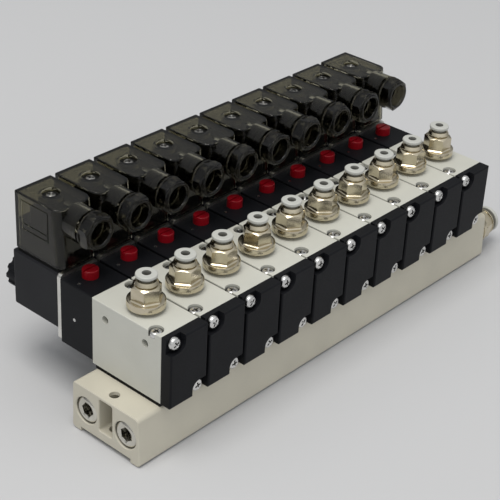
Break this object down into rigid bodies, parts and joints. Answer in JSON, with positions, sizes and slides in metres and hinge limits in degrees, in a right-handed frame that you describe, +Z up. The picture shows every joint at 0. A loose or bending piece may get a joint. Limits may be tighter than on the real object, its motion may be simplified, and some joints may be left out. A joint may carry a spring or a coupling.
{
  "type": "pneumatic valve island",
  "caption": "Row of solenoid air valves on an extruded manifold base, each with a push-in outlet, a red override button and a transparent plug connector.",
  "frame": {"origin": "centre of the underside of the base, midway between its two mounting holes", "axes": "+X along the base towards the supply fitting, +Y towards the coils, +Z up"},
  "size_m": [0.2712, 0.1078, 0.0928],
  "materials": {
    "base_aluminium": "satin anodised extrusion",
    "valve_aluminium": "satin painted die casting",
    "black_plastic": "fine moulded texture",
    "coil_plastic": "smooth potted resin",
    "smoke_plastic": "transparent smoke, glossy",
    "gland_plastic": "transparent dark smoke, glossy",
    "red_plastic": "glossy",
    "grey_plastic": "satin",
    "nickel_brass": "nickel plated, turned",
    "zinc_steel": "zinc plated",
    "plate_steel": "bright plated sheet",
    "spring_steel": "drawn wire",
    "spool_aluminium": "ground",
    "black_rubber": "matt"
  },
  "bodies": {
    "island": {"manifold_base": "base_aluminium", "end_plugs": "nickel_brass", "supply_fitting": "nickel_brass", "valve_gaskets": "black_rubber", "valve_bodies": "valve_aluminium", "front_covers": "black_plastic", "cover_screws": "zinc_steel", "hold_down_screws": "zinc_steel", "outlet_fittings": "nickel_brass", "tube_seals": "black_rubber", "spool_seals": "black_rubber", "spool_springs": "spring_steel", "pilot_blocks": "black_plastic", "pilot_plugs": "zinc_steel", "pilot_screws": "zinc_steel", "override_springs": "spring_steel", "pilot_plates": "plate_steel", "armature_tubes": "plate_steel", "armatures": "plate_steel", "armature_springs": "spring_steel", "coils": "coil_plastic", "coil_pins": "zinc_steel", "coil_nuts": "black_plastic", "connector_gaskets": "black_rubber", "connector_housings": "smoke_plastic", "terminal_blocks": "black_plastic", "connector_screws": "zinc_steel", "gland_seals": "black_rubber", "gland_screws": "gland_plastic"},
    "button_01": {"override_button_01": "red_plastic"},
    "button_02": {"override_button_02": "red_plastic"},
    "button_03": {"override_button_03": "red_plastic"},
    "button_04": {"override_button_04": "red_plastic"},
    "button_05": {"override_button_05": "red_plastic"},
    "button_06": {"override_button_06": "red_plastic"},
    "button_07": {"override_button_07": "red_plastic"},
    "button_08": {"override_button_08": "red_plastic"},
    "button_09": {"override_button_09": "red_plastic"},
    "button_10": {"override_button_10": "red_plastic"},
    "ring_01": {"release_ring_01": "grey_plastic"},
    "ring_02": {"release_ring_02": "grey_plastic"},
    "ring_03": {"release_ring_03": "grey_plastic"},
    "ring_04": {"release_ring_04": "grey_plastic"},
    "ring_05": {"release_ring_05": "grey_plastic"},
    "ring_06": {"release_ring_06": "grey_plastic"},
    "ring_07": {"release_ring_07": "grey_plastic"},
    "ring_08": {"release_ring_08": "grey_plastic"},
    "ring_09": {"release_ring_09": "grey_plastic"},
    "ring_10": {"release_ring_10": "grey_plastic"},
    "supply_ring": {"supply_release_ring": "grey_plastic"},
    "slider_01": {"spool_01": "spool_aluminium"},
    "slider_02": {"spool_02": "spool_aluminium"},
    "slider_03": {"spool_03": "spool_aluminium"},
    "slider_04": {"spool_04": "spool_aluminium"},
    "slider_05": {"spool_05": "spool_aluminium"},
    "slider_06": {"spool_06": "spool_aluminium"},
    "slider_07": {"spool_07": "spool_aluminium"},
    "slider_08": {"spool_08": "spool_aluminium"},
    "slider_09": {"spool_09": "spool_aluminium"},
    "slider_10": {"spool_10": "spool_aluminium"}
  },
  "joints": [
    {"name": "button_01_press", "type": "slide", "parent": "island", "child": "button_01", "axis": [0, 0, -1], "range_m": [0, 0.002], "stiffness_N_per_m": 1200, "springref_m": -0.001},
    {"name": "button_02_press", "type": "slide", "parent": "island", "child": "button_02", "axis": [0, 0, -1], "range_m": [0, 0.002], "stiffness_N_per_m": 1200, "springref_m": -0.001},
    {"name": "button_03_press", "type": "slide", "parent": "island", "child": "button_03", "axis": [0, 0, -1], "range_m": [0, 0.002], "stiffness_N_per_m": 1200, "springref_m": -0.001},
    {"name": "button_04_press", "type": "slide", "parent": "island", "child": "button_04", "axis": [0, 0, -1], "range_m": [0, 0.002], "stiffness_N_per_m": 1200, "springref_m": -0.001},
    {"name": "button_05_press", "type": "slide", "parent": "island", "child": "button_05", "axis": [0, 0, -1], "range_m": [0, 0.002], "stiffness_N_per_m": 1200, "springref_m": -0.001},
    {"name": "button_06_press", "type": "slide", "parent": "island", "child": "button_06", "axis": [0, 0, -1], "range_m": [0, 0.002], "stiffness_N_per_m": 1200, "springref_m": -0.001},
    {"name": "button_07_press", "type": "slide", "parent": "island", "child": "button_07", "axis": [0, 0, -1], "range_m": [0, 0.002], "stiffness_N_per_m": 1200, "springref_m": -0.001},
    {"name": "button_08_press", "type": "slide", "parent": "island", "child": "button_08", "axis": [0, 0, -1], "range_m": [0, 0.002], "stiffness_N_per_m": 1200, "springref_m": -0.001},
    {"name": "button_09_press", "type": "slide", "parent": "island", "child": "button_09", "axis": [0, 0, -1], "range_m": [0, 0.002], "stiffness_N_per_m": 1200, "springref_m": -0.001},
    {"name": "button_10_press", "type": "slide", "parent": "island", "child": "button_10", "axis": [0, 0, -1], "range_m": [0, 0.002], "stiffness_N_per_m": 1200, "springref_m": -0.001},
    {"name": "ring_01_release", "type": "slide", "parent": "island", "child": "ring_01", "axis": [0, 0, -1], "range_m": [0, 0.001], "stiffness_N_per_m": 1500, "springref_m": -0.001},
    {"name": "ring_02_release", "type": "slide", "parent": "island", "child": "ring_02", "axis": [0, 0, -1], "range_m": [0, 0.001], "stiffness_N_per_m": 1500, "springref_m": -0.001},
    {"name": "ring_03_release", "type": "slide", "parent": "island", "child": "ring_03", "axis": [0, 0, -1], "range_m": [0, 0.001], "stiffness_N_per_m": 1500, "springref_m": -0.001},
    {"name": "ring_04_release", "type": "slide", "parent": "island", "child": "ring_04", "axis": [0, 0, -1], "range_m": [0, 0.001], "stiffness_N_per_m": 1500, "springref_m": -0.001},
    {"name": "ring_05_release", "type": "slide", "parent": "island", "child": "ring_05", "axis": [0, 0, -1], "range_m": [0, 0.001], "stiffness_N_per_m": 1500, "springref_m": -0.001},
    {"name": "ring_06_release", "type": "slide", "parent": "island", "child": "ring_06", "axis": [0, 0, -1], "range_m": [0, 0.001], "stiffness_N_per_m": 1500, "springref_m": -0.001},
    {"name": "ring_07_release", "type": "slide", "parent": "island", "child": "ring_07", "axis": [0, 0, -1], "range_m": [0, 0.001], "stiffness_N_per_m": 1500, "springref_m": -0.001},
    {"name": "ring_08_release", "type": "slide", "parent": "island", "child": "ring_08", "axis": [0, 0, -1], "range_m": [0, 0.001], "stiffness_N_per_m": 1500, "springref_m": -0.001},
    {"name": "ring_09_release", "type": "slide", "parent": "island", "child": "ring_09", "axis": [0, 0, -1], "range_m": [0, 0.001], "stiffness_N_per_m": 1500, "springref_m": -0.001},
    {"name": "ring_10_release", "type": "slide", "parent": "island", "child": "ring_10", "axis": [0, 0, -1], "range_m": [0, 0.001], "stiffness_N_per_m": 1500, "springref_m": -0.001},
    {"name": "supply_ring_release", "type": "slide", "parent": "island", "child": "supply_ring", "axis": [-1, 0, 0], "range_m": [0, 0.0011], "stiffness_N_per_m": 1500, "springref_m": -0.001},
    {"name": "slider_01_shift", "type": "slide", "parent": "island", "child": "slider_01", "axis": [0, -1, 0], "range_m": [0, 0.003], "stiffness_N_per_m": 1500, "springref_m": -0.002},
    {"name": "slider_02_shift", "type": "slide", "parent": "island", "child": "slider_02", "axis": [0, -1, 0], "range_m": [0, 0.003], "stiffness_N_per_m": 1500, "springref_m": -0.002},
    {"name": "slider_03_shift", "type": "slide", "parent": "island", "child": "slider_03", "axis": [0, -1, 0], "range_m": [0, 0.003], "stiffness_N_per_m": 1500, "springref_m": -0.002},
    {"name": "slider_04_shift", "type": "slide", "parent": "island", "child": "slider_04", "axis": [0, -1, 0], "range_m": [0, 0.003], "stiffness_N_per_m": 1500, "springref_m": -0.002},
    {"name": "slider_05_shift", "type": "slide", "parent": "island", "child": "slider_05", "axis": [0, -1, 0], "range_m": [0, 0.003], "stiffness_N_per_m": 1500, "springref_m": -0.002},
    {"name": "slider_06_shift", "type": "slide", "parent": "island", "child": "slider_06", "axis": [0, -1, 0], "range_m": [0, 0.003], "stiffness_N_per_m": 1500, "springref_m": -0.002},
    {"name": "slider_07_shift", "type": "slide", "parent": "island", "child": "slider_07", "axis": [0, -1, 0], "range_m": [0, 0.003], "stiffness_N_per_m": 1500, "springref_m": -0.002},
    {"name": "slider_08_shift", "type": "slide", "parent": "island", "child": "slider_08", "axis": [0, -1, 0], "range_m": [0, 0.003], "stiffness_N_per_m": 1500, "springref_m": -0.002},
    {"name": "slider_09_shift", "type": "slide", "parent": "island", "child": "slider_09", "axis": [0, -1, 0], "range_m": [0, 0.003], "stiffness_N_per_m": 1500, "springref_m": -0.002},
    {"name": "slider_10_shift", "type": "slide", "parent": "island", "child": "slider_10", "axis": [0, -1, 0], "range_m": [0, 0.003], "stiffness_N_per_m": 1500, "springref_m": -0.002}
  ]
}
